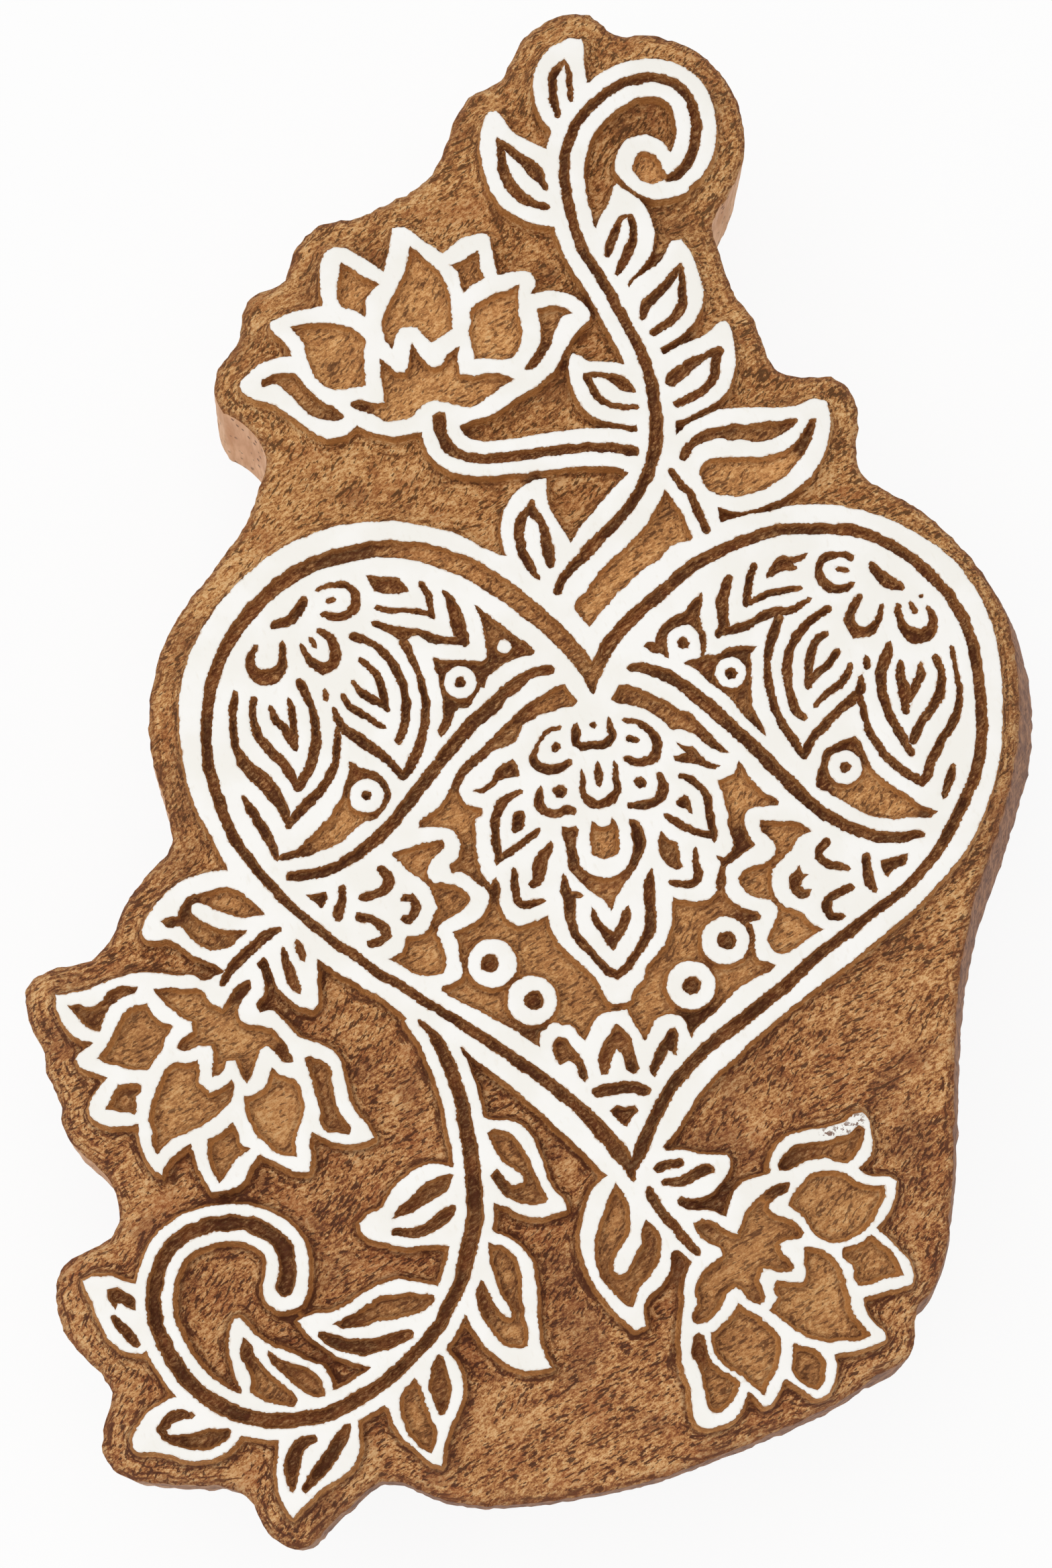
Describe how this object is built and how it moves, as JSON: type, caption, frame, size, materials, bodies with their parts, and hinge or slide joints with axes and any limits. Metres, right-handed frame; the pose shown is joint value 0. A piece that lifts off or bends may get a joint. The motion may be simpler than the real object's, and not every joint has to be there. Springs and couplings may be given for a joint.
{
  "type": "wooden textile printing block",
  "caption": "Hand-carved wooden block for printing cloth: a heart with lotus flowers and leafy vines stands in white-coated relief, with a wooden grip on the back.",
  "frame": {"origin": "middle of the block's box, on the surface that its grip rests on", "axes": "+Z out of the printing face, +Y towards the curled end of the upper vine, +X to the right of the printing face"},
  "size_m": [0.1404, 0.2224, 0.058],
  "materials": {
    "carved_wood": "raw chiselled wood",
    "white_coat": "matt white paint, slightly uneven",
    "grip_wood": "smoothed wood",
    "screw_metal": "plain",
    "dowel_wood": "turned wood"
  },
  "bodies": {
    "root": {"carved_board": "carved_wood", "white_coat": "white_coat", "back_grip": "grip_wood", "screw_top": "screw_metal", "screw_bottom": "screw_metal", "dowel_top": "dowel_wood", "dowel_bottom": "dowel_wood", "plug_top": "dowel_wood", "plug_bottom": "dowel_wood"}
  },
  "joints": []
}
